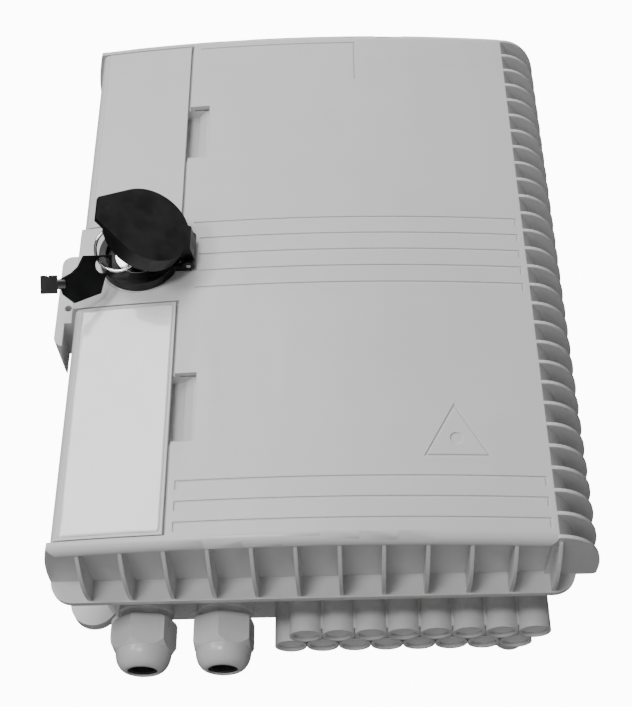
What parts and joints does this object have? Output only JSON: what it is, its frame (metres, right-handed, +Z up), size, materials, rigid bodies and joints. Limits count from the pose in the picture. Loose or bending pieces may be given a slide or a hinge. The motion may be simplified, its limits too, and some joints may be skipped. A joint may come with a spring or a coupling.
{
  "type": "fiber termination box",
  "caption": "Wall-mounted fibre termination box: ribbed hinged cover with side fins, lift-up latches, key lock under a dust cap, cable glands and a block of plugged drop ports.",
  "frame": {"origin": "centre of the four wall-screw holes, on the back plane that lies against the wall", "axes": "+X to the box's right seen from the front, +Y into the wall, +Z up; cable entries point to -Z"},
  "size_m": [0.229, 0.1352, 0.3106],
  "materials": {
    "housing_plastic": "fine moulded texture",
    "cover_plastic": "satin moulded",
    "latch_plastic": "smooth moulded",
    "light_plastic": "smooth moulded",
    "black_plastic": "semi-matte moulded",
    "black_rubber": "soft matte",
    "chrome_metal": "polished",
    "dark_metal": "cut metal",
    "zinc_steel": "zinc plated",
    "green_plastic": "moulded",
    "blue_plastic": "moulded"
  },
  "bodies": {
    "base": {"base_housing": "housing_plastic", "port_block": "housing_plastic", "port_plugs": "light_plastic", "hinge_pins": "zinc_steel", "clamp_base": "light_plastic", "clamp_bar": "zinc_steel", "clamp_screws": "zinc_steel", "adapter_panel": "zinc_steel", "sc_adapters": "green_plastic", "panel_screws": "zinc_steel", "splitter_module": "light_plastic", "fibre_spools": "light_plastic", "tray_brackets": "zinc_steel", "bracket_screws": "zinc_steel", "gland_1_body": "housing_plastic", "gland_1_gasket": "black_rubber", "gland_1_locknut": "light_plastic", "gland_1_seal": "black_rubber", "gland_2_body": "housing_plastic", "gland_2_gasket": "black_rubber", "gland_2_locknut": "light_plastic", "gland_2_seal": "black_rubber", "catch_posts": "housing_plastic", "strikers": "zinc_steel"},
    "tray": {"splice_tray": "light_plastic", "splice_holder": "blue_plastic", "tray_pins": "zinc_steel"},
    "cover": {"cover": "cover_plastic", "cover_gasket": "black_rubber", "latch_pins": "zinc_steel", "lock_body": "chrome_metal", "lock_nut": "zinc_steel", "cap_base": "black_plastic", "cap_hinge_pin": "zinc_steel"},
    "upper_latch": {"upper_latch": "latch_plastic"},
    "lower_latch": {"lower_latch": "latch_plastic"},
    "lock_core": {"lock_plug": "chrome_metal", "lock_cam": "zinc_steel", "cam_screw": "zinc_steel", "key_1_blade": "chrome_metal", "key_1_bow": "black_plastic"},
    "dust_cap": {"dust_cap": "black_plastic"},
    "key_ring": {"key_ring": "chrome_metal"},
    "key_2": {"key_2_blade": "dark_metal", "key_2_bow": "black_plastic"},
    "dome_nut_1": {"gland_1_dome_nut": "housing_plastic"},
    "dome_nut_2": {"gland_2_dome_nut": "housing_plastic"}
  },
  "joints": [
    {"name": "cover_hinge", "type": "hinge", "parent": "base", "child": "cover", "pos_m": [0.107, -0.0525, 0], "axis": [0, 0, 1], "range_deg": [0, 115]},
    {"name": "tray_swing", "type": "hinge", "parent": "base", "child": "tray", "pos_m": [0.085, -0.042, 0], "axis": [0, 0, 1], "range_deg": [0, 70]},
    {"name": "upper_latch_lift", "type": "hinge", "parent": "cover", "child": "upper_latch", "pos_m": [-0.0986, -0.0917, 0.0777], "axis": [0, 0, 1], "range_deg": [-48, 0]},
    {"name": "lower_latch_lift", "type": "hinge", "parent": "cover", "child": "lower_latch", "pos_m": [-0.0986, -0.0917, -0.0777], "axis": [0, 0, 1], "range_deg": [-48, 0]},
    {"name": "lock_turn", "type": "hinge", "parent": "cover", "child": "lock_core", "pos_m": [-0.0744, -0.098, 0.0017], "axis": [0, 1, 0], "range_deg": [0, 90]},
    {"name": "dust_cap_lift", "type": "hinge", "parent": "cover", "child": "dust_cap", "pos_m": [-0.0519, -0.1034, 0.0017], "axis": [0, 0, 1], "range_deg": [-3, 95]},
    {"name": "key_ring_swing", "type": "hinge", "parent": "lock_core", "child": "key_ring", "pos_m": [-0.0744, -0.115, 0.0017], "axis": [-0.6428, 0, 0.766], "range_deg": [-2, 12]},
    {"name": "key_2_swing", "type": "hinge", "parent": "key_ring", "child": "key_2", "pos_m": [-0.0889, -0.10843, -0.00854], "axis": [0.6061, -0.6104, -0.51], "range_deg": [-10, 20]},
    {"name": "dome_nut_1_turn", "type": "hinge", "parent": "base", "child": "dome_nut_1", "pos_m": [-0.073, -0.03, -0.15], "axis": [0, 0, 1], "range_deg": [0, 360]},
    {"name": "dome_nut_2_turn", "type": "hinge", "parent": "base", "child": "dome_nut_2", "pos_m": [-0.039, -0.03, -0.15], "axis": [0, 0, 1], "range_deg": [0, 360]}
  ],
  "couplings": [
    {"joint": "tray_swing", "follows": "cover_hinge", "ratio": 0.6}
  ]
}
